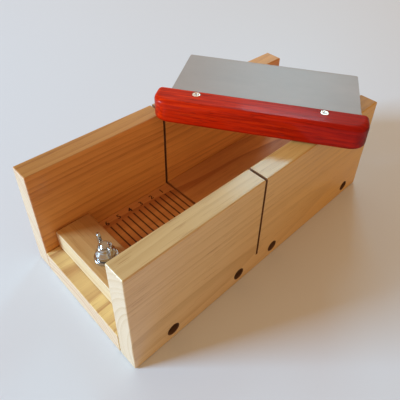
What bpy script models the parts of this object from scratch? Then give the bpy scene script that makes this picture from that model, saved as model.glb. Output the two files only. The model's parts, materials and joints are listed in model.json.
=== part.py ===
"""Soap-loaf cutting box: an open-ended wooden trough with a sliding stop and a straight slicer.

Metres, +Z up.  The origin is the middle of the trough's underside.  +X runs along the trough from
the stop end to the far end, +Y points to the left wall.
"""

from math import cos, pi, radians, sin, sqrt

import bmesh
import bpy
from mathutils import Matrix, Vector

# ---------------------------------------------------------------- driving dimensions

# Wooden trough.
BOX_LENGTH = 0.238
BOX_WIDTH = 0.112
BOX_HEIGHT = 0.084
WALL_THICKNESS = 0.015
BASE_THICKNESS = 0.017
WOOD_EDGE_RADIUS = 0.0010
BOARD_EDGE_RADIUS = 0.0004

# Saw kerf that guides the blade.
KERF_FROM_NEAR_END = 0.1045
KERF_DEPTH_IN_BASE = 0.0025

# Screws that hold the walls to the base.
SCREW_HEIGHT = 0.0088
SCREW_FROM_NEAR_END = 0.029
SCREW_FROM_FAR_END = 0.021
SCREW_FROM_KERF = 0.0177
SCREW_HEAD_RADIUS = 0.0037
SCREW_HEAD_DEPTH = 0.0026
SCREW_HEAD_RIM = 0.0005
SCREW_CORE_RADIUS = 0.0014
SCREW_CREST_RADIUS = 0.0020
SCREW_LENGTH = 0.026
SCREW_PITCH = 0.0020
SCREW_RIDGE_RISE = 0.0007
SCREW_TIP_LENGTH = 0.0040
SCREW_SUNK = 0.0062
CROSS_RECESS_WIDTH = 0.0010
CROSS_RECESS_SPAN = 0.0040
CROSS_RECESS_DEPTH = 0.0014

# Stop block and its clamping hardware.
STOP_LENGTH = 0.025
STOP_HEIGHT = 0.0145
STOP_FROM_NEAR_END = 0.0095
STOP_BACKWARD_TRAVEL = 0.003
STOP_FORWARD_TRAVEL = 0.060
STOP_SIDE_CLEARANCE = 0.0005
STOP_EDGE_RADIUS = 0.0008
BOLT_RADIUS = 0.0030
BOLT_LENGTH = 0.040
BOLT_THREAD_LENGTH = 0.018
BOLT_PITCH = 0.0010
BOLT_THREAD_DEPTH = 0.0004
BOLT_HEAD_RADIUS = 0.0070
BOLT_HEAD_HEIGHT = 0.0030
BOLT_HEAD_RIM = 0.0008
BOLT_NECK_OVERLAP = 0.0004
BOLT_NECK_PROUD = 0.0001
BOLT_NECK_HEIGHT = 0.0040
BOLT_HEAD_ABOVE_TABLE = 0.0013
HEAD_CHANNEL_CLEARANCE = 0.0006
WASHER_RADIUS = 0.0076
WASHER_THICKNESS = 0.0015
WASHER_EDGE = 0.0003
NUT_BASE_RADIUS = 0.0064
NUT_BASE_HEIGHT = 0.0034
NUT_SHOULDER_HEIGHT = 0.0052
NUT_HUB_RADIUS = 0.0046
NUT_HUB_HEIGHT = 0.0088
NUT_EDGE = 0.0005
WING_SPAN = 0.0190
WING_HEIGHT = 0.0136
WING_THICKNESS = 0.0022
WING_EDGE = 0.0004
WING_ROOT_DEPTH = 0.0010
WING_FOOT_HEIGHT = 0.0014
WING_BELLY_INSET = 0.0025
WING_BELLY_HEIGHT = 0.0027
WING_WIDEST_HEIGHT = 0.0084
WING_TIP_INSET = 0.0004
WING_TIP_WIDTH = 0.0036
WING_NECK_HEIGHT = 0.0080
WING_ROUNDING = 0.0018
WING_ROOT_ROUNDING = 0.0003
NUT_ANGLE = radians(85)

# Slicer, which lies across the tops of the walls.
SLICER_FROM_KERF = 0.0355
SLICER_ON_LEFT_WALL = 0.0027
SLICER_ANGLE = radians(-56.35)
HANDLE_LENGTH = 0.146
HANDLE_DEPTH = 0.0200
HANDLE_THICKNESS = 0.0180
HANDLE_GRIP_CORNER = 0.0100
HANDLE_BLADE_CORNER = 0.0025
HANDLE_EDGE_RADIUS = 0.0032
BLADE_LENGTH = 0.1375
BLADE_THICKNESS = 0.0010
BLADE_REACH = 0.0696
BLADE_SUNK = 0.0100
BLADE_OFFSET = 0.0014
BLADE_CORNER = 0.0012
BLADE_GROUND_WIDTH = 0.0030
BLADE_EDGE_THICKNESS = 0.0003
RIVET_SPACING = 0.0878
RIVET_FROM_BACK = 0.0058
RIVET_OFFSET = -0.0008
RIVET_FLANGE_RADIUS = 0.0030
RIVET_FLANGE_HEIGHT = 0.0008
RIVET_FLANGE_EDGE = 0.0004
RIVET_TUBE_RADIUS = 0.0021
RIVET_PIN_RADIUS = 0.0012
RIVET_PIN_SUNK = 0.0002

# Clearances.
TOUCH_GAP = 0.0003
BLADE_CLEARANCE = 0.0003
BOLT_HOLE_CLEARANCE = 0.0004
NUT_BORE_CLEARANCE = 0.00015
SCREW_HOLE_CLEARANCE = 0.0003
COUNTERBORE_CLEARANCE = 0.0006
CUT_MARGIN = 0.002

ROUND_STEPS = 24
SMALL_ROUND_STEPS = 16
SCREW_STEPS = 12
DOME_STEPS = 4

# ---------------------------------------------------------------- derived places

NEAR_END = -BOX_LENGTH / 2
FAR_END = BOX_LENGTH / 2
INNER_HALF_WIDTH = BOX_WIDTH / 2 - WALL_THICKNESS
KERF_X = NEAR_END + KERF_FROM_NEAR_END
KERF_WIDTH = BLADE_THICKNESS + 2 * BLADE_CLEARANCE
SCREW_XS = (
    NEAR_END + SCREW_FROM_NEAR_END,
    KERF_X - SCREW_FROM_KERF,
    KERF_X + SCREW_FROM_KERF,
    FAR_END - SCREW_FROM_FAR_END,
)
STOP_X = NEAR_END + STOP_FROM_NEAR_END + STOP_LENGTH / 2
STOP_BOTTOM = BASE_THICKNESS + TOUCH_GAP
STOP_TOP = STOP_BOTTOM + STOP_HEIGHT
BOLT_SEAT = BOLT_HEAD_ABOVE_TABLE + BOLT_HEAD_HEIGHT
CHANNEL_DEPTH = BOLT_SEAT + TOUCH_GAP
BOLT_HOLE_RADIUS = BOLT_RADIUS + BOLT_HOLE_CLEARANCE
NECK_HALF_WIDTH = BOLT_RADIUS + BOLT_NECK_PROUD
SLOT_END_ROOM = NECK_HALF_WIDTH + TOUCH_GAP - sqrt(BOLT_HOLE_RADIUS ** 2 - NECK_HALF_WIDTH ** 2)
WASHER_BOTTOM = STOP_TOP + TOUCH_GAP
NUT_BOTTOM = WASHER_BOTTOM + WASHER_THICKNESS + TOUCH_GAP
HANDLE_BOTTOM = BOX_HEIGHT + TOUCH_GAP
HANDLE_MIDDLE = HANDLE_BOTTOM + HANDLE_THICKNESS / 2
SLICER_X = KERF_X + SLICER_FROM_KERF
SLICER_Y = INNER_HALF_WIDTH + SLICER_ON_LEFT_WALL + sin(SLICER_ANGLE) * HANDLE_LENGTH / 2


# ---------------------------------------------------------------- modelling helpers

def clear_scene():
    """Remove every object, and the data that only they used."""
    for obj in list(bpy.data.objects):
        bpy.data.objects.remove(obj, do_unlink=True)
    for group in (bpy.data.meshes, bpy.data.curves, bpy.data.materials, bpy.data.collections):
        for block in list(group):
            group.remove(block)


def new_collection(name):
    """A collection linked to the scene."""
    collection = bpy.data.collections.new(name)
    bpy.context.scene.collection.children.link(collection)
    return collection


def new_material(name, color, roughness, metallic=0.0):
    """A Principled BSDF material."""
    material = bpy.data.materials.new(name)
    material.use_nodes = True
    shader = material.node_tree.nodes["Principled BSDF"]
    shader.inputs["Base Color"].default_value = (*color, 1.0)
    shader.inputs["Roughness"].default_value = roughness
    shader.inputs["Metallic"].default_value = metallic
    material.diffuse_color = (*color, 1.0)
    return material


def new_object(name, data, collection):
    """An object at the origin of a collection."""
    obj = bpy.data.objects.new(name, data)
    collection.objects.link(obj)
    return obj


def new_empty(name, location, collection):
    """An empty that marks a joint or a reference point."""
    empty = new_object(name, None, collection)
    empty.empty_display_size = 0.01
    empty.location = location
    return empty


def mesh_from(bm, name):
    """A mesh datablock holding the bmesh, which is freed."""
    mesh = bpy.data.meshes.new(name)
    bm.to_mesh(mesh)
    bm.free()
    return mesh


def block(name, low, high, collection):
    """A box between two corners, whose origin is its middle."""
    size = Vector(high) - Vector(low)
    bm = bmesh.new()
    bmesh.ops.create_cube(bm, size=1.0)
    bmesh.ops.scale(bm, vec=size, verts=bm.verts)
    obj = new_object(name, mesh_from(bm, name), collection)
    obj.location = (Vector(low) + Vector(high)) / 2
    return obj


def rod(name, radius, low, high, collection, steps=ROUND_STEPS, travel=0.0):
    """A vertical cylinder from low to high, stretched along X by travel into a slot shape."""
    bm = bmesh.new()
    bmesh.ops.create_cone(
        bm, cap_ends=True, segments=steps, radius1=radius, radius2=radius, depth=high - low)
    bmesh.ops.rotate(bm, cent=(0, 0, 0), matrix=Matrix.Rotation(pi / steps, 3, "Z"), verts=bm.verts)
    front = [vert for vert in bm.verts if vert.co.x > 0]
    bmesh.ops.translate(bm, vec=(travel, 0, 0), verts=front)
    obj = new_object(name, mesh_from(bm, name), collection)
    obj.location.z = (low + high) / 2
    return obj


def turned(name, profile, collection, steps=ROUND_STEPS, ring=False):
    """A solid turned about Z from (radius, height) points that run down its outer side."""
    count = len(profile)
    edges = [(i, i + 1) for i in range(count - 1)]
    if ring:
        edges.append((count - 1, 0))
    mesh = bpy.data.meshes.new(name)
    mesh.from_pydata([(radius, 0, height) for radius, height in profile], edges, [])
    obj = new_object(name, mesh, collection)
    screw = obj.modifiers.new("Turn", "SCREW")
    screw.axis = "Z"
    screw.steps = steps
    screw.render_steps = steps
    screw.use_merge_vertices = True
    screw.merge_threshold = 0.00001
    return obj


def plate(name, outline, thickness, collection):
    """A flat plate of a closed outline in X and Y, centred on Z = 0, as a mesh."""
    curve = bpy.data.curves.new(name, "CURVE")
    curve.dimensions = "2D"
    curve.fill_mode = "BOTH"
    curve.extrude = thickness / 2
    spline = curve.splines.new("POLY")
    spline.points.add(len(outline) - 1)
    for point, (x, y) in zip(spline.points, outline):
        point.co = (x, y, 0, 1)
    spline.use_cyclic_u = True
    sketch = new_object(name + "_sketch", curve, collection)
    bpy.context.view_layer.update()
    depsgraph = bpy.context.evaluated_depsgraph_get()
    mesh = bpy.data.meshes.new_from_object(sketch.evaluated_get(depsgraph))
    bpy.data.objects.remove(sketch)
    bm = bmesh.new()
    bm.from_mesh(mesh)
    bmesh.ops.remove_doubles(bm, verts=bm.verts, dist=0.000001)
    bmesh.ops.dissolve_limit(bm, angle_limit=radians(0.5), verts=bm.verts, edges=bm.edges)
    bm.to_mesh(mesh)
    bm.free()
    mesh.name = name
    return new_object(name, mesh, collection)


def rounded_outline(corners, steps=6):
    """Points around convex or concave corners given as (x, y, radius)."""
    points = []
    count = len(corners)
    for i, (x, y, radius) in enumerate(corners):
        here = Vector((x, y))
        to_last = (Vector(corners[i - 1][:2]) - here).normalized()
        to_next = (Vector(corners[(i + 1) % count][:2]) - here).normalized()
        half_angle = to_last.angle(to_next) / 2
        centre = here + (to_last + to_next).normalized() * (radius / sin(half_angle))
        reach = radius * cos(half_angle) / sin(half_angle)
        start = here + to_last * reach - centre
        sweep = start.angle_signed(here + to_next * reach - centre)
        for k in range(steps + 1):
            angle = -sweep * k / steps
            offset = Vector((
                start.x * cos(angle) - start.y * sin(angle),
                start.x * sin(angle) + start.y * cos(angle)))
            points.append(tuple(centre + offset))
    return points


def bevel(obj, width, segments=2):
    """Round the sharp edges."""
    modifier = obj.modifiers.new("Rounded edges", "BEVEL")
    modifier.width = width
    modifier.segments = segments
    modifier.limit_method = "ANGLE"
    modifier.angle_limit = radians(40)


def combine(obj, other, operation):
    """Add a Boolean modifier."""
    modifier = obj.modifiers.new(other.name, "BOOLEAN")
    modifier.operation = operation
    modifier.object = other
    modifier.solver = "EXACT"


def as_tool(obj):
    """Mark an object as a cutter or a guide."""
    obj.hide_render = True
    obj.display_type = "WIRE"
    return obj


def finished_mesh(obj, name):
    """The evaluated mesh of an object, which is then removed."""
    bpy.context.view_layer.update()
    depsgraph = bpy.context.evaluated_depsgraph_get()
    mesh = bpy.data.meshes.new_from_object(obj.evaluated_get(depsgraph))
    mesh.name = name
    bpy.data.objects.remove(obj)
    return mesh


def shade_smooth(obj):
    """Smooth shading with sharp edges kept."""
    obj.data.shade_smooth()
    obj.data.set_sharp_from_angle(angle=radians(35))


# ---------------------------------------------------------------- screws

def wood_screw_profile():
    """Countersunk screw on +Z, head top at height 0, with ring ridges for its thread."""
    shoulder = -SCREW_HEAD_DEPTH
    point = -SCREW_LENGTH
    thread_end = point + SCREW_TIP_LENGTH
    profile = [(0, 0), (SCREW_HEAD_RADIUS, 0), (SCREW_HEAD_RADIUS, -SCREW_HEAD_RIM),
               (SCREW_CORE_RADIUS, shoulder)]
    ridges = int((shoulder - thread_end) / SCREW_PITCH)
    for i in range(ridges):
        root = shoulder - (i + 0.5) * SCREW_PITCH
        profile.append((SCREW_CORE_RADIUS, root))
        profile.append((SCREW_CREST_RADIUS, root - SCREW_RIDGE_RISE))
    profile.append((SCREW_CORE_RADIUS, thread_end))
    profile.append((0, point))
    return profile


def wood_screw_mesh(cutters):
    """One screw mesh, with a cross recess in its head, shared by every screw."""
    screw = turned("screw_body", wood_screw_profile(), cutters, SCREW_STEPS)
    for name, size_x, size_y in (
            ("recess_x", CROSS_RECESS_SPAN, CROSS_RECESS_WIDTH),
            ("recess_y", CROSS_RECESS_WIDTH, CROSS_RECESS_SPAN)):
        cross = block(name, (-size_x / 2, -size_y / 2, -CROSS_RECESS_DEPTH),
                      (size_x / 2, size_y / 2, CUT_MARGIN), cutters)
        combine(screw, as_tool(cross), "DIFFERENCE")
    return finished_mesh(screw, "wood_screw")


def screw_hole(name, cutters):
    """Cutter on +Z for a counterbore, a wall hole and a pilot hole, wall face at height 0."""
    hole = SCREW_CREST_RADIUS + SCREW_HOLE_CLEARANCE
    bore = SCREW_HEAD_RADIUS + COUNTERBORE_CLEARANCE
    seat = -(SCREW_SUNK + SCREW_HEAD_DEPTH + TOUCH_GAP)
    deep = -(SCREW_SUNK + SCREW_LENGTH + TOUCH_GAP)
    profile = [(0, CUT_MARGIN), (bore, CUT_MARGIN), (bore, seat), (hole, seat),
               (hole, deep), (0, deep - hole)]
    return as_tool(turned(name, profile, cutters, SMALL_ROUND_STEPS))


def screw_places():
    """Name, side and place of each screw, at the outer face of its wall."""
    for side_name, side in (("left", 1), ("right", -1)):
        for number, x in enumerate(SCREW_XS, start=1):
            yield f"{side_name}_screw_{number}", side, Vector((x, side * BOX_WIDTH / 2, SCREW_HEIGHT))


def face_outward(obj, side):
    """Turn an object whose axis is +Z so that it points out of the left or right wall."""
    obj.rotation_euler.x = -side * pi / 2


# ---------------------------------------------------------------- the trough

def kerf_cutter(cutters):
    """The saw cut through both walls and a little way into the base."""
    low = (KERF_X - KERF_WIDTH / 2, -BOX_WIDTH / 2 - CUT_MARGIN, BASE_THICKNESS - KERF_DEPTH_IN_BASE)
    high = (KERF_X + KERF_WIDTH / 2, BOX_WIDTH / 2 + CUT_MARGIN, BOX_HEIGHT + CUT_MARGIN)
    return as_tool(block("kerf_cut", low, high, cutters))


def wall(name, side, parts, kerf, holes):
    """One side wall, with the kerf and the counterbored screw holes of its side."""
    outer = side * BOX_WIDTH / 2
    inner = side * INNER_HALF_WIDTH
    board = block(name, (NEAR_END, min(outer, inner), 0), (FAR_END, max(outer, inner), BOX_HEIGHT), parts)
    bevel(board, WOOD_EDGE_RADIUS)
    combine(board, kerf, "DIFFERENCE")
    for hole in holes:
        combine(board, hole, "DIFFERENCE")
    return board


def base_board(parts, cutters, kerf, holes):
    """The floor of the trough, with the stop's slot and the channel for the bolt head under it."""
    half_width = INNER_HALF_WIDTH - TOUCH_GAP
    board = block("base_board", (NEAR_END, -half_width, 0), (FAR_END, half_width, BASE_THICKNESS), parts)
    bevel(board, BOARD_EDGE_RADIUS)
    combine(board, kerf, "DIFFERENCE")
    travel = STOP_BACKWARD_TRAVEL + STOP_FORWARD_TRAVEL + 2 * SLOT_END_ROOM
    slot_start = STOP_X - STOP_BACKWARD_TRAVEL - SLOT_END_ROOM
    slot = rod("stop_slot", BOLT_HOLE_RADIUS, -CUT_MARGIN, BASE_THICKNESS + CUT_MARGIN, cutters,
               travel=travel)
    channel = rod("bolt_head_channel", BOLT_HEAD_RADIUS + HEAD_CHANNEL_CLEARANCE,
                  -CUT_MARGIN, CHANNEL_DEPTH, cutters, travel=travel)
    for cutter in (channel, slot):
        cutter.location.x = slot_start
        combine(board, as_tool(cutter), "DIFFERENCE")
    for hole in holes:
        combine(board, hole, "DIFFERENCE")
    return board


# ---------------------------------------------------------------- the stop

def stop_block(parts, cutters):
    """The sliding block that sets the bar's thickness."""
    half_width = INNER_HALF_WIDTH - STOP_SIDE_CLEARANCE
    body = block("stop_block", (STOP_X - STOP_LENGTH / 2, -half_width, STOP_BOTTOM),
                 (STOP_X + STOP_LENGTH / 2, half_width, STOP_TOP), parts)
    bevel(body, STOP_EDGE_RADIUS)
    hole = rod("stop_bolt_hole", BOLT_HOLE_RADIUS, STOP_BOTTOM - CUT_MARGIN, STOP_TOP + CUT_MARGIN, cutters)
    hole.location.x = STOP_X
    combine(body, as_tool(hole), "DIFFERENCE")
    return body


def carriage_bolt_profile():
    """Domed head, shank and ring ridges for the thread, with the head's seat at height 0."""
    root = BOLT_RADIUS - BOLT_THREAD_DEPTH
    profile = [(0, BOLT_LENGTH), (root - BOLT_THREAD_DEPTH, BOLT_LENGTH)]
    ridges = int(BOLT_THREAD_LENGTH / BOLT_PITCH)
    for i in range(ridges):
        top = BOLT_LENGTH - (i + 0.5) * BOLT_PITCH
        profile.append((BOLT_RADIUS, top))
        profile.append((root, top - BOLT_PITCH / 2))
    profile.append((BOLT_RADIUS, BOLT_LENGTH - (ridges + 0.5) * BOLT_PITCH))
    profile.append((BOLT_RADIUS, 0))
    profile.append((BOLT_HEAD_RADIUS, 0))
    for i in range(DOME_STEPS):
        angle = pi / 2 * i / DOME_STEPS
        height = -BOLT_HEAD_RIM - (BOLT_HEAD_HEIGHT - BOLT_HEAD_RIM) * sin(angle)
        profile.append((BOLT_HEAD_RADIUS * cos(angle), height))
    profile.append((0, -BOLT_HEAD_HEIGHT))
    return profile


def stop_bolt(parts, cutters):
    """Carriage bolt, head down in the channel, its square neck held by the slot."""
    bolt = turned("stop_bolt", carriage_bolt_profile(), parts, SMALL_ROUND_STEPS)
    bolt.location = (STOP_X, 0, BOLT_SEAT)
    half = NECK_HALF_WIDTH
    neck = block("bolt_neck", (STOP_X - half, -half, BOLT_SEAT - BOLT_NECK_OVERLAP),
                 (STOP_X + half, half, BOLT_SEAT + BOLT_NECK_HEIGHT), cutters)
    combine(bolt, as_tool(neck), "UNION")
    return bolt


def stop_washer(parts):
    """Flat washer between the block and the wing nut."""
    inner = BOLT_HOLE_RADIUS
    profile = [(inner, WASHER_THICKNESS), (WASHER_RADIUS - WASHER_EDGE, WASHER_THICKNESS),
               (WASHER_RADIUS, WASHER_THICKNESS - WASHER_EDGE), (WASHER_RADIUS, WASHER_EDGE),
               (WASHER_RADIUS - WASHER_EDGE, 0), (inner, 0)]
    washer = turned("stop_washer", profile, parts, ROUND_STEPS, ring=True)
    washer.location = (STOP_X, 0, WASHER_BOTTOM)
    return washer


def wing_outline():
    """One wing in the plane of radius and height, rooted inside the hub."""
    tip = WING_SPAN / 2
    root = NUT_HUB_RADIUS - WING_ROOT_DEPTH
    return rounded_outline([
        (root, WING_FOOT_HEIGHT, WING_ROOT_ROUNDING),
        (tip - WING_BELLY_INSET, WING_BELLY_HEIGHT, WING_ROUNDING),
        (tip, WING_WIDEST_HEIGHT, WING_ROUNDING),
        (tip - WING_TIP_INSET, WING_HEIGHT, WING_ROUNDING),
        (tip - WING_TIP_INSET - WING_TIP_WIDTH, WING_HEIGHT, WING_TIP_WIDTH / 2.5),
        (NUT_HUB_RADIUS, WING_NECK_HEIGHT, WING_ROUNDING / 2),
        (root, WING_NECK_HEIGHT, WING_ROOT_ROUNDING),
    ], steps=4)


def wing_nut(parts, cutters, axis):
    """Wing nut: a turned hub, two wings and a clear bore, turning about the bolt's axis."""
    hub_profile = [
        (0, NUT_HUB_HEIGHT), (NUT_HUB_RADIUS - NUT_EDGE, NUT_HUB_HEIGHT),
        (NUT_HUB_RADIUS, NUT_HUB_HEIGHT - NUT_EDGE), (NUT_HUB_RADIUS, NUT_SHOULDER_HEIGHT),
        (NUT_BASE_RADIUS, NUT_BASE_HEIGHT), (NUT_BASE_RADIUS, NUT_EDGE),
        (NUT_BASE_RADIUS - NUT_EDGE, 0), (0, 0)]
    nut = turned("wing_nut", hub_profile, parts, ROUND_STEPS)
    nut.parent = axis
    for side, name in ((1, "first_wing"), (-1, "second_wing")):
        wing = plate(name, wing_outline(), WING_THICKNESS, cutters)
        bevel(wing, WING_EDGE, segments=1)
        wing.parent = axis
        wing.rotation_euler = (pi / 2, 0, 0 if side > 0 else pi)
        combine(nut, as_tool(wing), "UNION")
    bore = rod("nut_bore", BOLT_RADIUS + NUT_BORE_CLEARANCE, -CUT_MARGIN,
               WING_HEIGHT + CUT_MARGIN, cutters)
    bore.parent = axis
    combine(nut, as_tool(bore), "DIFFERENCE")
    return nut


# ---------------------------------------------------------------- the slicer

def slicer_handle(parts, cutters, slicer):
    """Handle with rounded ends, a slot for the blade in its back and two riveted holes."""
    half = HANDLE_LENGTH / 2
    grip = -HANDLE_DEPTH / 2
    back = HANDLE_DEPTH / 2
    outline = rounded_outline([
        (-half, grip, HANDLE_GRIP_CORNER), (half, grip, HANDLE_GRIP_CORNER),
        (half, back, HANDLE_BLADE_CORNER), (-half, back, HANDLE_BLADE_CORNER)])
    handle = plate("slicer_handle", outline, HANDLE_THICKNESS, parts)
    handle.parent = slicer
    bevel(handle, HANDLE_EDGE_RADIUS, segments=4)
    slot_half = BLADE_THICKNESS / 2 + BLADE_CLEARANCE
    slot_end = BLADE_LENGTH / 2 + BLADE_CLEARANCE
    slot = block("blade_slot", (BLADE_OFFSET - slot_end, back - BLADE_SUNK - BLADE_CLEARANCE, -slot_half),
                 (BLADE_OFFSET + slot_end, back + CUT_MARGIN, slot_half), cutters)
    slot.parent = slicer
    combine(handle, as_tool(slot), "DIFFERENCE")
    for x in rivet_xs():
        combine(handle, rivet_hole(x, cutters, slicer), "DIFFERENCE")
    return handle


def rivet_xs():
    """Both rivets' places along the handle."""
    return (RIVET_OFFSET - RIVET_SPACING / 2, RIVET_OFFSET + RIVET_SPACING / 2)


def rivet_y():
    """The rivets' place across the handle."""
    return HANDLE_DEPTH / 2 - RIVET_FROM_BACK


def rivet_hole(x, cutters, slicer):
    """Cutter for a through hole with a shallow seat for a flange at each face."""
    hole = RIVET_TUBE_RADIUS + TOUCH_GAP
    seat = RIVET_FLANGE_RADIUS + TOUCH_GAP
    face = HANDLE_THICKNESS / 2
    step = face - RIVET_FLANGE_HEIGHT - TOUCH_GAP
    out = face + CUT_MARGIN
    profile = [(0, out), (seat, out), (seat, step), (hole, step),
               (hole, -step), (seat, -step), (seat, -out), (0, -out)]
    cutter = turned("rivet_hole", profile, cutters, SMALL_ROUND_STEPS)
    cutter.parent = slicer
    cutter.location = (x, rivet_y(), 0)
    return as_tool(cutter)


def slicer_blade(parts, cutters, slicer):
    """Flat blade with ground edge, set in the handle's slot and held by the rivets."""
    inner = HANDLE_DEPTH / 2 - BLADE_SUNK
    outer = HANDLE_DEPTH / 2 + BLADE_REACH
    half = BLADE_LENGTH / 2
    outline = rounded_outline([
        (-half, inner, BLADE_CORNER), (half, inner, BLADE_CORNER),
        (half, outer, BLADE_CORNER), (-half, outer, BLADE_CORNER)], steps=3)
    shifted = [(x + BLADE_OFFSET, y) for x, y in outline]
    blade = plate("slicer_blade", shifted, BLADE_THICKNESS, parts)
    blade.parent = slicer
    drop = (BLADE_THICKNESS - BLADE_EDGE_THICKNESS) / 2
    for side in (1, -1):
        combine(blade, ground_face(side, drop, outer, cutters, slicer), "DIFFERENCE")
    for x in rivet_xs():
        hole = rod("blade_hole", RIVET_TUBE_RADIUS + TOUCH_GAP, -CUT_MARGIN, CUT_MARGIN, cutters,
                   SMALL_ROUND_STEPS)
        hole.parent = slicer
        hole.location = (x, rivet_y(), 0)
        combine(blade, as_tool(hole), "DIFFERENCE")
    return blade


def ground_face(side, drop, edge_y, cutters, slicer):
    """Wedge cutter whose sloping face makes one side of the ground edge."""
    face = BLADE_THICKNESS / 2
    thin = face - drop
    start = edge_y - BLADE_GROUND_WIDTH
    slope = drop / BLADE_GROUND_WIDTH
    near = start - CUT_MARGIN
    far = edge_y + CUT_MARGIN
    outline = [(near, face + slope * CUT_MARGIN), (far, thin - slope * CUT_MARGIN),
               (far, face + CUT_MARGIN), (near, face + CUT_MARGIN)]
    wedge = plate("ground_face", outline, BLADE_LENGTH + 2 * CUT_MARGIN, cutters)
    wedge.parent = slicer
    wedge.location.x = BLADE_OFFSET
    wedge.rotation_euler = (pi / 2, 0, pi / 2)
    wedge.scale = (1, side, 1)
    return as_tool(wedge)


def rivets(parts, slicer, brass, steel):
    """Two tubular rivets, each a flanged sleeve from above and a headed pin from below."""
    face = HANDLE_THICKNESS / 2
    bore = RIVET_PIN_RADIUS + TOUCH_GAP
    sleeve_profile = [
        (bore, face), (RIVET_FLANGE_RADIUS - RIVET_FLANGE_EDGE, face),
        (RIVET_FLANGE_RADIUS, face - RIVET_FLANGE_EDGE),
        (RIVET_FLANGE_RADIUS, face - RIVET_FLANGE_HEIGHT),
        (RIVET_TUBE_RADIUS, face - RIVET_FLANGE_HEIGHT),
        (RIVET_TUBE_RADIUS, -face + RIVET_FLANGE_HEIGHT + TOUCH_GAP),
        (bore, -face + RIVET_FLANGE_HEIGHT + TOUCH_GAP)]
    pin_profile = [
        (0, face - RIVET_PIN_SUNK), (RIVET_PIN_RADIUS, face - RIVET_PIN_SUNK),
        (RIVET_PIN_RADIUS, -face + RIVET_FLANGE_HEIGHT),
        (RIVET_FLANGE_RADIUS, -face + RIVET_FLANGE_HEIGHT),
        (RIVET_FLANGE_RADIUS, -face + RIVET_FLANGE_EDGE),
        (RIVET_FLANGE_RADIUS - RIVET_FLANGE_EDGE, -face), (0, -face)]
    for number, x in enumerate(rivet_xs(), start=1):
        sleeve = turned(f"rivet_sleeve_{number}", sleeve_profile, parts, SMALL_ROUND_STEPS, ring=True)
        pin = turned(f"rivet_pin_{number}", pin_profile, parts, SMALL_ROUND_STEPS)
        for piece, material in ((sleeve, brass), (pin, steel)):
            piece.parent = slicer
            piece.location = (x, rivet_y(), 0)
            piece.data.materials.append(material)


# ---------------------------------------------------------------- assembly

def keep_place_under(obj, parent):
    """Parent an object without moving it."""
    obj.parent = parent
    obj.matrix_parent_inverse = parent.matrix_world.inverted()


def main():
    """Build every piece."""
    clear_scene()
    parts = new_collection("soap_cutting_box")
    cutters = new_collection("cutters")

    pine = new_material("pine_wall", (0.62, 0.42, 0.20), 0.55)
    pine_base = new_material("pine_base", (0.52, 0.30, 0.14), 0.60)
    pine_stop = new_material("pine_stop", (0.66, 0.45, 0.22), 0.55)
    red_wood = new_material("red_wood", (0.42, 0.035, 0.012), 0.30)
    blade_steel = new_material("blade_steel", (0.50, 0.49, 0.47), 0.40, 1.0)
    zinc = new_material("zinc", (0.72, 0.72, 0.70), 0.25, 1.0)
    screw_steel = new_material("screw_steel", (0.35, 0.33, 0.30), 0.40, 1.0)
    rivet_brass = new_material("rivet_brass", (0.86, 0.74, 0.60), 0.30, 1.0)

    stop_axis = new_empty("stop_slide", (STOP_X, 0, STOP_BOTTOM), parts)
    nut_axis = new_empty("wing_nut_turn", (STOP_X, 0, NUT_BOTTOM), parts)
    nut_axis.rotation_euler.z = NUT_ANGLE
    slicer = new_empty("slicer_lift", (SLICER_X, SLICER_Y, HANDLE_MIDDLE), parts)
    slicer.rotation_euler.z = SLICER_ANGLE

    kerf = kerf_cutter(cutters)
    screw_mesh = wood_screw_mesh(cutters)
    screw_mesh.materials.append(screw_steel)
    holes = {1: [], -1: []}
    for name, side, place in screw_places():
        hole = screw_hole(name + "_hole", cutters)
        screw = new_object(name, screw_mesh, parts)
        for obj in (hole, screw):
            face_outward(obj, side)
            obj.location = place
        screw.location.y -= side * SCREW_SUNK
        holes[side].append(hole)

    pieces = [
        (wall("left_wall", 1, parts, kerf, holes[1]), pine),
        (wall("right_wall", -1, parts, kerf, holes[-1]), pine),
        (base_board(parts, cutters, kerf, holes[1] + holes[-1]), pine_base),
        (stop_block(parts, cutters), pine_stop),
        (stop_bolt(parts, cutters), zinc),
        (stop_washer(parts), zinc),
        (wing_nut(parts, cutters, nut_axis), zinc),
        (slicer_handle(parts, cutters, slicer), red_wood),
        (slicer_blade(parts, cutters, slicer), blade_steel),
    ]
    for piece, material in pieces:
        piece.data.materials.append(material)
    rivets(parts, slicer, rivet_brass, blade_steel)
    for obj in parts.objects:
        if obj.type == "MESH":
            shade_smooth(obj)
    bpy.context.view_layer.update()
    for name in ("stop_block", "stop_washer"):
        keep_place_under(parts.objects[name], stop_axis)


main()
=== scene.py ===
"""The look of the soap-loaf cutting box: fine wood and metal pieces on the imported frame."""

import json
from math import atan2, cos, pi, radians, sin, tau

import bmesh
import bpy
from mathutils import Matrix, Vector


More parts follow.
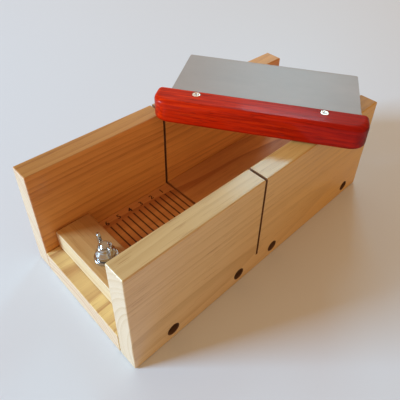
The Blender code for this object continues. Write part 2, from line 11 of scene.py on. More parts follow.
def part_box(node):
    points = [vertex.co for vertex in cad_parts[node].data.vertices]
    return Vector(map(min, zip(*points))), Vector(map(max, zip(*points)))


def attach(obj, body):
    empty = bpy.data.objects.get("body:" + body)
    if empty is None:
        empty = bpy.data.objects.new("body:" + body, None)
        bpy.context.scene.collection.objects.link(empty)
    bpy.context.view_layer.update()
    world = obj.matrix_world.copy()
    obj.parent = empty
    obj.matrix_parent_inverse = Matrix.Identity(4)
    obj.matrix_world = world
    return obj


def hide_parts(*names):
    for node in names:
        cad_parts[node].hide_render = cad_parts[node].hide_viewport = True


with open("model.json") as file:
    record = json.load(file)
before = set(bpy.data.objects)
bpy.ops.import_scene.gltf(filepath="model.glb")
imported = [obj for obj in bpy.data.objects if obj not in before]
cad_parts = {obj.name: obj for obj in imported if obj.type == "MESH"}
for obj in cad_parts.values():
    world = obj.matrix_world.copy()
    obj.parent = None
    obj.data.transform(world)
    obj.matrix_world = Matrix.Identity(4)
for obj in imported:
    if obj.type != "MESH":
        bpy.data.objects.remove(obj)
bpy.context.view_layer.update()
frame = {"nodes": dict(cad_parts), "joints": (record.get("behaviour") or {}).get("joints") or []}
nodes = frame["nodes"]

# ---------------------------------------------------------------- sizes of the fine surface

# The boards, the kerf and the burnt scale
WALL_EDGE = 0.0010
BOARD_EDGE = 0.0004
STOP_EDGE = 0.0008
HOLE_LIP = 0.00025
KERF_LIP = 0.0001
KERF_WIDTH = 0.0020
KERF_DEPTH_IN_BASE = 0.0025
SCALE_STEP = 0.005
SCALE_LINES = 14
SCALE_LINE_WIDTH = 0.0008
SCALE_HALF_WIDTH = 0.0314
SCALE_DEPTH = 0.0003
NUMERAL_SIZE = 0.0058
NUMERAL_Y = 0.0356
NUMERAL_BOLDNESS = 0.0001
NUMERAL_CURVE_STEPS = 3
MERGE_DISTANCE = 0.000001
GAP = 0.0003
EASE = 0.0001
SCORCH_PAST_LINES = 0.0003

# The bolt, the wing nut and the washer
BOLT_RADIUS = 0.0030
BOLT_PITCH = 0.0010
BOLT_THREAD = 0.018
THREAD_DEPTH = 0.00045
THREAD_STEEPNESS = 2.6
BOLT_RUNOUT = 0.0004
BOLT_END = 0.0007
BOLT_ROWS_PER_TURN = 8
BOLT_FADE_ROWS = 10
NECK_HALF = 0.0031
NECK_HEIGHT = 0.0040
NECK_CORNER = 1.34
NECK_FLARE = 1.5
NECK_EASE = 0.0003
HEAD_HEIGHT = 0.0030
HEAD_RIM = 0.0006
HEAD_STEPS = 10
HEAD_ROOM = 0.0006
BOLT_ROOM = 0.0004
SLOT_END_ROOM = 0.0020
SLOT_STEPS = 24
NUT_BORE = 0.00315
NUT_BASE = 0.0063
NUT_BASE_TOP = 0.0032
NUT_HUB = 0.0045
NUT_HUB_FOOT = 0.0056
NUT_HUB_TOP = 0.0083
NUT_EASE = 0.0004
NUT_UNDERSIDE = 0.00005
WING_FOOT = 0.0037
WING_FOOT_TOP = 0.0080
WING_THICK = 0.0021
WING_EASE = 0.00025
WING_FACE_SHARE = 0.93
WING_TIP_BAND = 0.0008
CAST_VOXEL = 0.00016
CAST_SMOOTHING = 6
WASHER_ROLL_SHARE = 0.34
WASHER_LIP = 0.00015
WASHER_SIDES = 96

# The wood screws, with the turns in radians
SCREW_HEAD = 0.0037
SCREW_EASE = 0.00015
SCREW_RIM = 0.0005
SCREW_DISH = 0.0001
SCREW_DISH_SHARE = 0.4
SCREW_CORE = 0.0014
SCREW_CREST = 0.0020
SCREW_HEAD_DEPTH = 0.0026
SCREW_PITCH = 0.0020
SCREW_TIP = 0.0045
SCREW_NECK = 0.0010
SCREW_TIP_FLAT = 0.0002
SCREW_SIDES = 32
SCREW_ROWS = 96
SCREW_FADE_ROWS = 8
SCREW_FIRST_TURN = 0.5
SCREW_NEXT_TURN = 1.3
SCREW_ROOM = 0.0003
BORE_SIDES = 48
BORE_ROOM = 0.0006

# The slicer
HANDLE_GRIP_CORNER = 0.0100
HANDLE_BLADE_CORNER = 0.0036
HANDLE_EDGE = 0.0032
HANDLE_CORNER_SPREAD = 0.0050
BLADE_CORNER = 0.0012
BLADE_GROUND = 0.0030
BLADE_THIN = 0.0003
RIVET_TUBE = 0.0021
RIVET_FLANGE_HEIGHT = 0.0008
RIVET_PIN = 0.0012
RIVET_PIN_ROOM = 0.0001
RIVET_BORE_LIP = 0.0003
RIVET_PIN_SINK = 0.00015
# The pin's head, as (in from its rim, up from its face), and its dome, as (share of radius, drop)
RIVET_HEAD_POINTS = ((0.0012, 0.0), (0.0003, 0.00005), (0.0, 0.0003))
RIVET_DOME_POINTS = ((1.0, 0.0004), (0.85, 0.00015), (0.5, 0.0))

# Cutters, mesh steps and shading
CUT = 0.002
FINE = 64
BEVEL_STEPS = 5
EDGE_STEPS = 10
LEAST_CORNER = 0.00002
SHARP_ANGLE = 32
SQUARE = ((-1, -1), (1, -1), (1, 1), (-1, 1))
# The cross recess in a screw's head, as (height, span, width)
CROSS_LEVELS = ((-0.0017, 0.0010, 0.0006), (-0.0003, 0.0042, 0.0009), (CUT, 0.0046, 0.0010))

# ---------------------------------------------------------------- places read from the frame

base_low, base_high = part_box("base_board")
wall_low, wall_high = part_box("right_wall")
stop_low, stop_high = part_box("stop_block")
bolt_low, bolt_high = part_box("stop_bolt")
washer_low, washer_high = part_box("stop_washer")
nut_low, nut_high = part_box("wing_nut")
screw_low, screw_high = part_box("left_screw_1")
rivet_low, rivet_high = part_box("rivet_sleeve_1")

NEAR_END = base_low.x
FAR_END = base_high.x
TROUGH_LENGTH = FAR_END - NEAR_END
FLOOR = base_high.z
HALF_WIDTH = -wall_low.y
STOP_X = (stop_low.x + stop_high.x) / 2
BOLT_SEAT = bolt_low.z + HEAD_HEIGHT
HEAD_RADIUS = (bolt_high.y - bolt_low.y) / 2
SCREW_LENGTH = screw_high.y - screw_low.y
RIVET_FLANGE = (rivet_high.x - rivet_low.x) / 2


def kerf_place():
    """The kerf's middle along X, midway between the two screws beside it."""
    xs = sorted(sum(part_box(f"right_screw_{number}"), Vector()).x / 2 for number in range(1, 5))
    return (xs[1] + xs[2]) / 2


def slicer_turn():
    """The handle's angle about Z, from its first rivet to its second."""
    first = sum(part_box("rivet_sleeve_1"), Vector()) / 2
    second = sum(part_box("rivet_sleeve_2"), Vector()) / 2
    run = second - first
    return atan2(run.y, run.x)


def slicer_place():
    """The slicer's own axes, X along the handle and Y towards the blade, at the handle's middle."""
    turn = Matrix.Rotation(SLICER_TURN, 4, "Z")
    points = [turn.inverted() @ vert.co for vert in nodes["slicer_handle"].data.vertices]
    middle = Vector([(min(p[i] for p in points) + max(p[i] for p in points)) / 2 for i in range(3)])
    return Matrix.Translation(turn @ middle) @ turn


def nut_turn():
    """The angle about Z of the wing nut's wings, from the vertices at one tip."""
    spokes = [vert.co.xy - Vector((STOP_X, 0)) for vert in nodes["wing_nut"].data.vertices]
    longest = max(spokes, key=lambda spoke: spoke.length)
    least = longest.length - WING_TIP_BAND
    tips = [spoke for spoke in spokes if spoke.length > least and spoke.dot(longest) > 0]
    middle = sum(tips, Vector((0, 0))) / len(tips)
    return atan2(middle.y, middle.x)


KERF_X = kerf_place()
SLICER_TURN = slicer_turn()
SLICER = slicer_place()
SLICER_ALONG = (Matrix.Rotation(-SLICER_TURN, 3, "Z") @ SLICER.translation).x
NUT_TURN = nut_turn()


def slicer_box(node):
    """The lowest and highest corner of a slicer part in the slicer's own axes."""
    points = [SLICER.inverted() @ vert.co for vert in nodes[node].data.vertices]
    low = Vector([min(p[i] for p in points) for i in range(3)])
    high = Vector([max(p[i] for p in points) for i in range(3)])
    return low, high


HANDLE_LENGTH = 2 * slicer_box("slicer_handle")[1].x

# ---------------------------------------------------------------- mesh helpers

def new_object(name, bm, matrix=None, material=None):
    """An object made from a bmesh, which is freed."""
    bmesh.ops.recalc_face_normals(bm, faces=bm.faces)
    mesh = bpy.data.meshes.new(name)
    bm.to_mesh(mesh)
    bm.free()
    if material:
        mesh.materials.append(material)
    obj = bpy.data.objects.new(name, mesh)
    if matrix:
        obj.matrix_world = matrix
    bpy.context.scene.collection.objects.link(obj)
    return obj


def loft(bm, loops, ring=False):
    """A closed skin through loops of equally many points; a ring joins its last loop to its first."""
    skins = [[bm.verts.new(point) for point in loop] for loop in loops]
    count = len(skins[0])
    pairs = list(zip(skins, skins[1:]))
    if ring:
        pairs.append((skins[-1], skins[0]))
    else:
        bm.faces.new(skins[0])
        bm.faces.new(skins[-1])
    for below, above in pairs:
        for i in range(count):
            j = (i + 1) % count
            bm.faces.new((below[i], below[j], above[j], above[i]))


def circle(radius, height, steps=FINE, shape=None):
    """Points round the Z axis; shape maps an angle to a radius instead."""
    points = []
    for i in range(steps):
        angle = tau * i / steps
        reach = shape(angle) if shape else radius
        points.append((reach * cos(angle), reach * sin(angle), height))
    return points


def arc(centre, radius, start, end, steps=6):
    """(x, y) points on an arc, angles in degrees."""
    angles = [radians(start + (end - start) * i / steps) for i in range(steps + 1)]
    return [(centre[0] + radius * cos(a), centre[1] + radius * sin(a)) for a in angles]


def turned(name, profile, matrix=None, material=None, ring=False, steps=FINE):
    """A solid turned about Z from (radius, height) points."""
    bm = bmesh.new()
    loft(bm, [circle(radius, height, steps) for radius, height in profile], ring)
    return new_object(name, bm, matrix, material)


def cuboid(bm, low, high):
    """A box between two corners."""
    made = bmesh.ops.create_cube(bm, size=1.0)["verts"]
    size = Vector(high) - Vector(low)
    middle = (Vector(high) + Vector(low)) / 2
    bmesh.ops.scale(bm, vec=size, verts=made)
    bmesh.ops.translate(bm, vec=middle, verts=made)


def box_tool(name, low, high, material):
    """A box-shaped cutter."""
    bm = bmesh.new()
    cuboid(bm, low, high)
    return new_object(name, bm, material=material)


def rounded_plan(low, high, grip_corner, back_corner, inset, height, steps=12):
    """A rectangle in X and Y drawn in by inset; grip_corner rounds its low-Y corners."""
    corners = (
        (low.x, low.y, grip_corner, 180), (high.x, low.y, grip_corner, 270),
        (high.x, high.y, back_corner, 0), (low.x, high.y, back_corner, 90))
    points = []
    for x, y, radius, start in corners:
        centre = (x + radius if x == low.x else x - radius, y + radius if y == low.y else y - radius)
        for px, py in arc(centre, max(radius - inset, LEAST_CORNER), start, start + 90, steps):
            points.append((px, py, height))
    return points


def cut(obj, *tools):
    """Boolean differences that leave each tool's material on the cut faces."""
    for tool in tools:
        modifier = obj.modifiers.new(tool.name, "BOOLEAN")
        modifier.operation = "DIFFERENCE"
        modifier.solver = "EXACT"
        modifier.material_mode = "TRANSFER"
        modifier.object = tool


def settle(obj):
    """Apply an object's modifiers and place, and round its shading without bending its flat faces."""
    bpy.context.view_layer.update()
    depsgraph = bpy.context.evaluated_depsgraph_get()
    mesh = bpy.data.meshes.new_from_object(obj.evaluated_get(depsgraph))
    mesh.transform(obj.matrix_world)
    obj.modifiers.clear()
    obj.data = mesh
    obj.matrix_world = Matrix.Identity(4)
    mesh.shade_smooth()
    mesh.set_sharp_from_angle(angle=radians(SHARP_ANGLE))
    weighted = obj.modifiers.new("Flat faces", "WEIGHTED_NORMAL")
    weighted.keep_sharp = True
    weighted.weight = 80
    return obj


def remove(*objects):
    """Delete cutters and sketches."""
    for obj in objects:
        bpy.data.objects.remove(obj, do_unlink=True)


def fit(obj, body, slot, *replaced):
    """Put a piece on its body and hide the CAD nodes that it stands for; slot, the finish's name, is not
    used.
    """
    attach(obj, body)
    if replaced:
        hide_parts(*replaced)


# ---------------------------------------------------------------- shader nodes


class Graph:
    """A small wrapper that adds and links shader nodes."""

    def __init__(self, material):
        """Take the node tree and the shader of a material that uses nodes."""
        self.tree = material.node_tree
        self.shader = self.tree.nodes["Principled BSDF"]

    def add(self, kind, **settings):
        """A node of a type, with its settings."""
        node = self.tree.nodes.new(kind)
        for key, value in settings.items():
            setattr(node, key, value)
        return node

    def link(self, source, target):
        """A link between two sockets."""
        self.tree.links.new(source, target)

    def feed(self, socket, value):
        """A value or another node's output into a socket."""
        if isinstance(value, bpy.types.NodeSocket):
            self.link(value, socket)
        else:
            socket.default_value = value

    def math(self, operation, a, b=0.0, c=0.0, clamp=False):
        """A Math node's output."""
        node = self.add("ShaderNodeMath", operation=operation, use_clamp=clamp)
        for socket, value in zip(node.inputs, (a, b, c)):
            self.feed(socket, value)
        return node.outputs[0]

    def vector(self, operation, a, b=(0, 0, 0), scale=1.0):
        """A Vector Math node's output, which is a number for LENGTH."""
        node = self.add("ShaderNodeVectorMath", operation=operation)
        self.feed(node.inputs[0], a)
        if operation == "SCALE":
            self.feed(node.inputs["Scale"], scale)
        elif operation != "LENGTH":
            self.feed(node.inputs[1], b)
        return node.outputs["Value" if operation == "LENGTH" else "Vector"]

    def place(self):
        """Object coordinates: metres in the frame at rest, but the screws' own axes on the screws."""
        return self.add("ShaderNodeTexCoord").outputs["Object"]

    def mapped(self, vector, location=(0, 0, 0), rotation=(0, 0, 0), scale=(1, 1, 1)):
        """A Mapping node's output."""
        node = self.add("ShaderNodeMapping")
        self.feed(node.inputs["Vector"], vector)
        node.inputs["Location"].default_value = location
        node.inputs["Rotation"].default_value = rotation
        node.inputs["Scale"].default_value = scale
        return node.outputs[0]

    def noise(self, vector, scale, detail=2.0, rough=0.5, color=False):
        """A Noise Texture's output."""
        node = self.add("ShaderNodeTexNoise")
        self.feed(node.inputs["Vector"], vector)
        node.inputs["Scale"].default_value = scale
        node.inputs["Detail"].default_value = detail
        node.inputs["Roughness"].default_value = rough
        return node.outputs["Color" if color else "Fac"]

    def ramp(self, value, stops, interpolation="LINEAR"):
        """A Color Ramp's colour output."""
        node = self.add("ShaderNodeValToRGB")
        self.feed(node.inputs[0], value)
        ramp = node.color_ramp
        ramp.interpolation = interpolation
        while len(ramp.elements) < len(stops):
            ramp.elements.new(0.5)
        for element, (position, color) in zip(ramp.elements, stops):
            element.position = position
            element.color = (*color, 1)
        return node.outputs["Color"]

    def grey(self, value, stops, interpolation="LINEAR"):
        """A ramp between plain values."""
        return self.ramp(value, [(p, (v, v, v)) for p, v in stops], interpolation)

    def mix(self, factor, a, b, blend="MIX"):
        """A colour mix."""
        node = self.add("ShaderNodeMix", data_type="RGBA", blend_type=blend)
        self.feed(node.inputs[0], factor)
        for socket, value in ((node.inputs[6], a), (node.inputs[7], b)):
            if isinstance(value, tuple):
                value = (*value, 1)
            self.feed(socket, value)
        return node.outputs[2]

    def xyz(self, vector):
        """The three parts of a vector."""
        node = self.add("ShaderNodeSeparateXYZ")
        self.feed(node.inputs[0], vector)
        return node.outputs

    def combine(self, x, y, z):
        """A vector of three parts."""
        node = self.add("ShaderNodeCombineXYZ")
        for socket, value in zip(node.inputs, (x, y, z)):
            self.feed(socket, value)
        return node.outputs[0]

    def normal(self):
        """The surface normal in world space; the pieces that use it slide but never turn."""
        return self.add("ShaderNodeNewGeometry").outputs["Normal"]

    def bump(self, height, strength, distance):
        """A Bump node's output."""
        node = self.add("ShaderNodeBump")
        node.inputs["Strength"].default_value = strength
        node.inputs["Distance"].default_value = distance
        self.feed(node.inputs["Height"], height)
        return node.outputs[0]


def new_material(name, **settings):
    """A Principled material and its graph; settings name shader inputs."""
    material = bpy.data.materials.new(name)
    material.use_nodes = True
    graph = Graph(material)
    for key, value in settings.items():
        socket = key.replace("_", " ").title().replace("Ior", "IOR")
        graph.shader.inputs[socket].default_value = value
    return material, graph


# ---------------------------------------------------------------- wood

RING_SPACING = 0.0042
NEAR_SPAN = 0.04
END_TONE = (0.80, 0.60, 0.40)
RING_TONES = [(0.0, 0.10), (0.45, 0.28), (0.78, 0.72), (0.90, 1.0), (0.97, 0.55), (1.0, 0.10)]


def pine(name, early, late, pith, tilt=(0.0, 0.0), seed=0.0, contrast=1.0, along="x",
         streaks=1.0, gloss=0.5, varnish=0.1, painted_top_shade=None, painted_far_shading=None, far_span=(0.28, 0.80),
         painted_near_light=None, scorched=False):
    """Planed pine cut from a log whose pith runs near the grain direction.

    pith is the log's centre across the grain and tilt its slope, so that the growth rings show as
    bands on the faces and as arcs on the end grain.  The top multiplier paints shade on the faces that
    look up, the far multiplier paints light and shade towards the far end (light on the left wall,
    shade on the right wall and the stop block), growing over far_span of the trough's length, and the
    near multiplier paints light on the first 12 mm, fading out by 30 mm.
    """
    material, g = new_material(name, roughness=gloss, coat_weight=varnish, coat_roughness=0.15)
    # growth rings
    spin = {"x": (0, 0, 0), "y": (0, 0, -pi / 2)}[along]
    here = g.place()
    place = g.mapped(here, rotation=spin)
    drift = g.mapped(place, location=(seed, seed * 0.7, 0), scale=(3.0, 9.0, 9.0))
    wander = g.vector("SUBTRACT", g.noise(drift, 1.0, 2.0, 0.5, color=True), (0.5, 0.5, 0.5))
    bent = g.vector("ADD", place, g.vector("SCALE", wander, scale=0.018))
    x, y, z = g.xyz(g.mapped(bent, location=(0, -pith[0], -pith[1])))
    y = g.math("ADD", y, g.math("MULTIPLY", x, tilt[0]))
    z = g.math("ADD", z, g.math("MULTIPLY", x, tilt[1]))
    years = g.math("DIVIDE", g.vector("LENGTH", g.combine(0.0, y, z)), RING_SPACING)
    uneven = g.noise(g.combine(years, seed, 0.0), 0.55, 1.0)
    years = g.math("ADD", years, g.math("MULTIPLY", uneven, 1.6))
    ring = g.grey(g.math("FRACT", years), RING_TONES, "EASE")
    year_tone = g.noise(g.combine(g.math("FLOOR", years), seed + 3.1, 0.0), 1.7, 0.0)
    strength = g.math("MULTIPLY", ring, g.math("MULTIPLY_ADD", year_tone, 1.5, 0.05))

    # fibres, streaks and cloudy patches
    fibre = g.noise(g.mapped(place, scale=(14.0, 1500.0, 1500.0)), 1.0, 3.0, 0.6)
    streak = g.noise(g.mapped(place, location=(seed, 0, 0), scale=(5.0, 260.0, 260.0)), 1.0, 2.0, 0.55)
    band = g.noise(g.mapped(bent, location=(seed, seed, 0), scale=(3.0, 70.0, 70.0)), 1.0, 2.0, 0.5)
    cloud = g.noise(g.mapped(place, location=(0, seed, 0), scale=(9.0, 26.0, 26.0)), 1.0, 2.0, 0.5)

    amount = g.math("MULTIPLY", strength, contrast)
    amount = g.math("ADD", amount, g.math("MULTIPLY", g.math("SUBTRACT", streak, 0.5), 0.7 * streaks))
    amount = g.math("ADD", amount, g.math("MULTIPLY", g.math("SUBTRACT", band, 0.5), 1.0 * streaks))
    amount = g.math("ADD", amount, g.math("MULTIPLY", g.math("SUBTRACT", fibre, 0.5), 0.35))
    amount = g.math("ADD", amount, 0.16, clamp=True)
    color = g.mix(amount, early, late)
    color = g.mix(g.grey(cloud, [(0.25, 0.0), (0.75, 0.5)]), color,
                  g.mix(1.0, color, (0.88, 0.80, 0.74), "MULTIPLY"))

    # short dark pores along the grain
    dash = g.noise(g.mapped(place, location=(seed, seed, 0), scale=(60.0, 2300.0, 2300.0)), 1.0, 0.0)
    dash = g.grey(dash, [(0.70, 0.0), (0.76, 0.5)])
    color = g.mix(dash, color, g.mix(1.0, color, (0.62, 0.45, 0.32), "MULTIPLY"))

    # end grain, then painted shade on faces that look up and painted light and shade along the trough
    end = g.math("ABSOLUTE", g.xyz(g.normal())[0 if along == "x" else 1])
    end = g.grey(end, [(0.75, 0.0), (0.92, 1.0)])
    pores = g.noise(g.mapped(place, scale=(1.0, 1700.0, 1700.0)), 1.0, 2.0, 0.65)
    end_wood = g.mix(g.math("MULTIPLY", strength, 0.55), END_TONE, late)
    end_wood = g.mix(g.grey(pores, [(0.40, 0.0), (0.80, 0.4)]), end_wood,
                     g.mix(1.0, end_wood, (0.70, 0.60, 0.50), "MULTIPLY"))
    # Painted shade: the top multiplier darkens the faces that look up.
    if painted_top_shade:
        up = g.grey(g.xyz(g.normal())[2], [(0.6, 0.0), (0.9, 1.0)])
        color = g.mix(up, color, g.mix(1.0, color, painted_top_shade, "MULTIPLY"))
    # Painted light and shade along X: the far multiplier brightens the left wall towards the far end, and
    # darkens the right wall towards the far end and the stop block towards its back.
    if painted_far_shading:
        far = g.math("DIVIDE", g.math("SUBTRACT", g.xyz(here)[0], NEAR_END), TROUGH_LENGTH)
        far = g.grey(far, [(far_span[0], 0.0), (far_span[1], 1.0)])
        color = g.mix(far, color, g.mix(1.0, color, painted_far_shading, "MULTIPLY"))
    # Painted light: the near multiplier brightens the floor's first 12 mm, the strip ahead of the stop
    # block that lies in the light.
    if painted_near_light:
        near = g.math("SUBTRACT", g.xyz(bent)[0], NEAR_END)
        near = g.grey(g.math("DIVIDE", near, NEAR_SPAN), [(0.30, 1.0), (0.75, 0.0)])
        color = g.mix(near, color, g.mix(1.0, color, painted_near_light, "MULTIPLY"))
    color = g.mix(end, color, end_wood)
    if scorched:
        color = g.mix(scorch(g, here), color, g.mix(1.0, color, (0.50, 0.32, 0.22), "MULTIPLY"))
    g.link(color, g.shader.inputs["Base Color"])

    # roughness and relief
    rough = g.math("ADD", gloss - 0.06, g.math("MULTIPLY", fibre, 0.16))
    rough = g.math("ADD", rough, g.math("MULTIPLY", end, 0.14))
    g.link(rough, g.shader.inputs["Roughness"])
    height = g.math("ADD", g.math("MULTIPLY", ring, 0.5), g.math("MULTIPLY", fibre, 0.5))
    height = g.math("SUBTRACT", height, g.math("MULTIPLY", dash, 0.8))
    height = g.math("ADD", height, g.math("MULTIPLY", g.math("MULTIPLY", pores, end), 0.8))
    g.link(g.bump(height, 0.35, 0.00025), g.shader.inputs["Normal"])
    return material


def scorch(g, here):
    """Where heat has browned the wood beside the engraved lines."""
    x, y, z = g.xyz(here)
    steps = g.math("DIVIDE", g.math("SUBTRACT", x, KERF_X), SCALE_STEP)
    off = g.math("ABSOLUTE", g.math("SUBTRACT", steps, g.math("ROUND", steps)))
    near = g.grey(off, [(0.08, 0.9), (0.26, 0.0)], "EASE")
    near = g.math("MULTIPLY", near, g.math("GREATER_THAN", z, FLOOR - 2 * SCALE_DEPTH))
    across = g.math("LESS_THAN", g.math("ABSOLUTE", y), SCALE_HALF_WIDTH + SCORCH_PAST_LINES)
    along = g.math("MULTIPLY", g.math("LESS_THAN", x, KERF_X - SCALE_STEP / 2),
                   g.math("GREATER_THAN", x, KERF_X - (SCALE_LINES + 0.5) * SCALE_STEP))
    ragged = g.noise(here, 900.0, 2.0)
    return g.math("MULTIPLY", near, g.math("MULTIPLY", g.math("MULTIPLY", across, along), ragged))


def rough_cut(name, dark, pale, grain):
    """Rough wood in a dark and a pale tone: in sawn cuts and bored holes the darkness is painted shade, in
    the burnt scale it is the burn's own; grain scales its marks along each axis.
    """
    material, g = new_material(name, roughness=0.75)
    place = g.place()
    marks = g.noise(g.mapped(place, scale=grain), 1.0, 3.0, 0.6)
    stain = g.noise(g.mapped(place, scale=(60, 60, 60)), 1.0, 2.0, 0.5)
    tone = g.math("ADD", g.math("MULTIPLY", marks, 0.7), g.math("MULTIPLY", stain, 0.3))
    g.link(g.ramp(tone, [(0.32, dark), (0.72, pale)]), g.shader.inputs["Base Color"])
    g.link(g.math("MULTIPLY_ADD", marks, 0.2, 0.62), g.shader.inputs["Roughness"])
    g.link(g.bump(marks, 0.5, 0.0003), g.shader.inputs["Normal"])
    return material


def red_wood():
    """Close-grained wood under red stain and gloss varnish, grain along the handle, with darker ends and
    painted shade towards its +X end.
    """
    material, g = new_material("red_wood", roughness=0.36, specular_ior_level=0.06, coat_weight=0.20,
                               coat_roughness=0.10)
    place = g.mapped(g.place(), rotation=(0, 0, -SLICER_TURN))
    wander = g.noise(g.mapped(place, scale=(6, 40, 40)), 1.0, 2.0, 0.5, color=True)
    wander = g.vector("SUBTRACT", wander, (0.5, 0.5, 0.5))
    bent = g.vector("ADD", place, g.vector("SCALE", wander, scale=0.006))
    bands = g.noise(g.mapped(bent, scale=(26, 520, 520)), 1.0, 3.0, 0.60)
    fibre = g.noise(g.mapped(place, scale=(30, 1500, 1500)), 1.0, 3.0, 0.6)
    pores = g.noise(g.mapped(place, location=(3, 1, 0), scale=(110, 2400, 2400)), 1.0, 1.0, 0.5)
    pores = g.grey(pores, [(0.64, 0.0), (0.72, 1.0)])
    blotch = g.noise(g.mapped(place, scale=(22, 40, 40)), 1.0, 2.0, 0.5)
    color = g.ramp(bands, [(0.28, (0.40, 0.0100, 0.0003)), (0.44, (0.55, 0.0170, 0.0003)),
                           (0.55, (0.70, 0.027, 0.0006)), (0.70, (0.80, 0.048, 0.001))])
    color = g.mix(g.grey(fibre, [(0.35, 0.0), (0.7, 0.45)]), color,
                  g.mix(1.0, color, (0.60, 0.42, 0.40), "MULTIPLY"))
    color = g.mix(g.grey(blotch, [(0.35, 0.0), (0.75, 0.5)]), color, (0.46, 0.010, 0.0004))
    color = g.mix(g.math("MULTIPLY", pores, 0.7), color, (0.085, 0.006, 0.004))
    # End faces darkened: end grain takes up more stain, and the strength of the darkening also paints the
    # shade on the +X end.
    facing = g.xyz(g.mapped(g.normal(), rotation=(0, 0, -SLICER_TURN)))[0]
    end = g.grey(g.math("ABSOLUTE", facing), [(0.55, 0.0), (0.95, 0.8)])
    color = g.mix(end, color, g.mix(1.0, color, (0.28, 0.20, 0.20), "MULTIPLY"))
    # Painted shade: the colour darkens towards the handle's +X end, the end turned away from the window
    # light.
    along = g.math("MULTIPLY_ADD", g.xyz(place)[0], 1 / HANDLE_LENGTH, 0.5 - SLICER_ALONG / HANDLE_LENGTH)
    deep = g.mix(1.0, color, (0.58, 0.18, 0.15), "MULTIPLY")
    color = g.mix(g.grey(along, [(0.15, 0.0), (0.95, 1.0)]), color, deep)
    g.link(color, g.shader.inputs["Base Color"])
    g.link(g.math("MULTIPLY_ADD", fibre, 0.18, 0.30), g.shader.inputs["Roughness"])
    height = g.math("SUBTRACT", g.math("MULTIPLY", fibre, 0.35), pores)
    g.link(g.bump(height, 0.15, 0.00015), g.shader.inputs["Normal"])
    return material


# ---------------------------------------------------------------- metals

BLADE_TONES = ((0.42, 0.395, 0.39), (0.48, 0.45, 0.445))


def blade_steel():
    """Satin stainless sheet, brushed along the blade."""
    material, g = new_material("blade_steel", metallic=1.0, roughness=0.42)
    place = g.mapped(g.place(), rotation=(0, 0, -SLICER_TURN))
    brush = g.noise(g.mapped(place, scale=(18, 5200, 5200)), 1.0, 3.0, 0.6)
    haze = g.noise(g.mapped(place, scale=(22, 40, 40)), 1.0, 3.0, 0.6)
    scratch = g.noise(g.mapped(place, rotation=(0, 0, 0.25), scale=(28, 3000, 3000)), 1.0, 0.0)
    scratch = g.grey(scratch, [(0.80, 0.0), (0.84, 1.0)])
    tone = g.math("ADD", g.math("MULTIPLY", g.math("SUBTRACT", brush, 0.5), 0.30), haze)
    color = g.ramp(tone, [(0.25, BLADE_TONES[0]), (0.75, BLADE_TONES[1])])
    color = g.mix(g.math("MULTIPLY", scratch, 0.3), color, (0.52, 0.51, 0.50))
    g.link(color, g.shader.inputs["Base Color"])
    rough = g.math("MULTIPLY_ADD", haze, 0.08, 0.46)
    g.link(g.math("MULTIPLY_ADD", brush, 0.10, rough), g.shader.inputs["Roughness"])
    height = g.math("SUBTRACT", brush, g.math("MULTIPLY", scratch, 0.6))
    g.link(g.bump(height, 0.10, 0.00005), g.shader.inputs["Normal"])
    return material


def plated(name, low, high, roughness):
    """Bright metal with faint cloudiness and pits."""
    material, g = new_material(name, metallic=1.0, roughness=roughness)
    place = g.place()
    cloud = g.noise(place, 260.0, 3.0, 0.6)
    pits = g.noise(place, 2700.0, 2.0, 0.5)
    color = g.mix(cloud, low, high)
    color = g.mix(g.grey(pits, [(0.66, 0.0), (0.78, 0.6)]), color, tuple(0.45 * c for c in low))
    g.link(color, g.shader.inputs["Base Color"])
    g.link(g.math("MULTIPLY_ADD", cloud, 0.16, roughness - 0.06), g.shader.inputs["Roughness"])
    g.link(g.bump(g.math("MULTIPLY_ADD", cloud, 0.5, pits), 0.10, 0.00008), g.shader.inputs["Normal"])
    return material


# ---------------------------------------------------------------- stage, light and camera

TABLE_TONE = (0.72, 0.775, 0.83)
ROOM_LIGHT = (0.575, 0.365, 0.205)
BACKDROP = (0.66, 0.66, 0.67)
TABLE_HALF = 4.0
TABLE_DROP = 0.0002
# Each light's name, place, target, watts, width, height and colour
LIGHTS = (
    ("window", (-2.12, 1.32, 1.03), (0.0, 0.0, 0.03), 106, 0.8, 0.8, (0.46, 0.74, 1.0)),
    ("back_window", (1.29, 0.82, 1.34), (0.0, -0.05, 0.08), 5.0, 0.42, 0.42, (0.40, 0.80, 1.0)),
    ("back_card", (1.5, 1.5, 1.25), (0.0, 0.0, 0.1), 2.5, 2.2, 1.4, (0.80, 0.92, 1.0)))
CAMERA_PLACE = (-0.18079, -0.17137, 0.26278)
CAMERA_AZIMUTH = -47.637
CAMERA_ELEVATION = 37.725
CAMERA_ROLL = 3.460
CAMERA_LENS = 40.12
CAMERA_SHIFT = (-0.0612, -0.1341)


def area_light(name, location, target, energy, size, size_y, color):
    """A rectangular soft light aimed at a target."""
    data = bpy.data.lights.new(name, "AREA")
    data.energy = energy
    data.color = color
    data.shape = "RECTANGLE"
    data.size = size
    data.size_y = size_y
    light = bpy.data.objects.new(name, data)
    light.location = location
    light.rotation_euler = (Vector(target) - Vector(location)).to_track_quat("-Z", "Y").to_euler()
    bpy.context.scene.collection.objects.link(light)


def build_stage():
    """Pale seamless table with a faint sheen."""
    bm = bmesh.new()
    bmesh.ops.create_grid(bm, x_segments=2, y_segments=2, size=TABLE_HALF)
    material, g = new_material("pale_table", roughness=0.38)
    g.shader.inputs["Base Color"].default_value = (*TABLE_TONE, 1)
    table = new_object("table", bm, Matrix.Translation((0, 0, -TABLE_DROP)), material)


